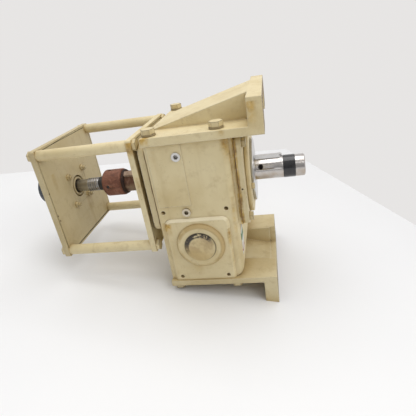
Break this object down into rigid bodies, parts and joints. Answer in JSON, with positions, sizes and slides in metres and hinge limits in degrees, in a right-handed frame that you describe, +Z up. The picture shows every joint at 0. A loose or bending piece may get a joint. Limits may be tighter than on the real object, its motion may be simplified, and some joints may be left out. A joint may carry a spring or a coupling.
{
  "type": "right angle bevel gearbox",
  "caption": "Cream cast gearbox with a through shaft, a geared cross shaft, two mounting flange brackets and a coupling cage on tie rods.",
  "frame": {"origin": "centre of the four mounting holes in the plane of the two mounting flange faces", "axes": "+X along the through shaft out of its output end, +Z up across the housing towards the top bracket, +Y towards the cross shaft's free end"},
  "size_m": [0.496, 0.2815, 0.3438],
  "materials": {
    "cream_paint": "satin",
    "cream_hardware": "satin",
    "steel": "brushed",
    "machined_steel": "brushed",
    "zinc_steel": "satin",
    "gear_steel": "satin",
    "dark_steel": "matte",
    "dark_iron": "matte",
    "rusty_iron": "matte",
    "black_rubber": "matte",
    "nameplate_foil": "satin"
  },
  "bodies": {
    "gearbox_frame": {"housing": "cream_paint", "left_cover_gasket": "black_rubber", "left_cover": "cream_paint", "left_cover_screws": "steel", "input_seal": "black_rubber", "right_cover_gasket": "black_rubber", "right_cover": "cream_paint", "right_cover_plate": "cream_paint", "right_cover_bolts": "cream_hardware", "cover_plate_screws": "steel", "output_seal_cap": "machined_steel", "output_seal": "black_rubber", "top_bracket": "cream_paint", "bottom_bracket": "cream_paint", "bracket_washers": "cream_hardware", "bracket_bolts": "cream_hardware", "front_cap": "cream_paint", "cross_carrier": "cream_paint", "cross_carrier_bolts": "steel", "cross_seal": "black_rubber", "fill_plug": "zinc_steel", "level_plug": "zinc_steel", "nameplate": "nameplate_foil", "inner_plate": "cream_paint", "inner_plate_screws": "steel", "outer_plate": "cream_paint", "tie_rod_top_front": "cream_paint", "tie_rod_top_back": "cream_paint", "tie_rod_bottom_front": "cream_paint", "tie_rod_bottom_back": "cream_paint", "tie_rod_bolts": "cream_paint", "flange_bearing_housing": "dark_iron", "flange_bearing_bolts": "cream_hardware", "flange_bearing_nuts": "cream_hardware", "flange_bearing_outer_ring": "steel", "main_bearing_outer_rings": "steel", "mid_bearing_outer_rings": "steel", "cross_bearing_outer_rings": "steel"},
    "through_shaft_body": {"through_shaft": "steel", "upper_spur_gear": "gear_steel", "upper_gear_key": "steel", "output_key": "steel", "input_key": "steel", "coupling_shaft_hub": "dark_steel", "coupling_stub_hub": "rusty_iron", "coupling_set_screws": "dark_steel", "stub_collar": "dark_steel", "stub_shaft": "steel", "input_hub": "dark_iron", "flange_bearing_inner_ring": "steel", "main_bearing_inner_rings": "steel", "main_bearing_balls": "steel"},
    "intermediate_body": {"intermediate_shaft": "steel", "lower_spur_gear": "gear_steel", "bevel_pinion": "gear_steel", "mid_bearing_inner_rings": "steel"},
    "cross_shaft_body": {"cross_shaft": "steel", "bevel_gear": "gear_steel", "cross_shaft_key": "steel", "cross_bearing_inner_rings": "steel"}
  },
  "joints": [
    {"name": "through_shaft_spin", "type": "hinge", "parent": "gearbox_frame", "child": "through_shaft_body", "pos_m": [0, 0, 0.0301], "axis": [1, 0, 0], "continuous": true},
    {"name": "intermediate_spin", "type": "hinge", "parent": "gearbox_frame", "child": "intermediate_body", "pos_m": [-0.118, 0, -0.0519], "axis": [1, 0, 0], "continuous": true},
    {"name": "cross_shaft_spin", "type": "hinge", "parent": "gearbox_frame", "child": "cross_shaft_body", "pos_m": [-0.118, 0, -0.0519], "axis": [0, 1, 0], "continuous": true}
  ],
  "couplings": [
    {"joint": "intermediate_spin", "follows": "through_shaft_spin", "ratio": -0.95238},
    {"joint": "cross_shaft_spin", "follows": "through_shaft_spin", "ratio": 0.63492}
  ]
}
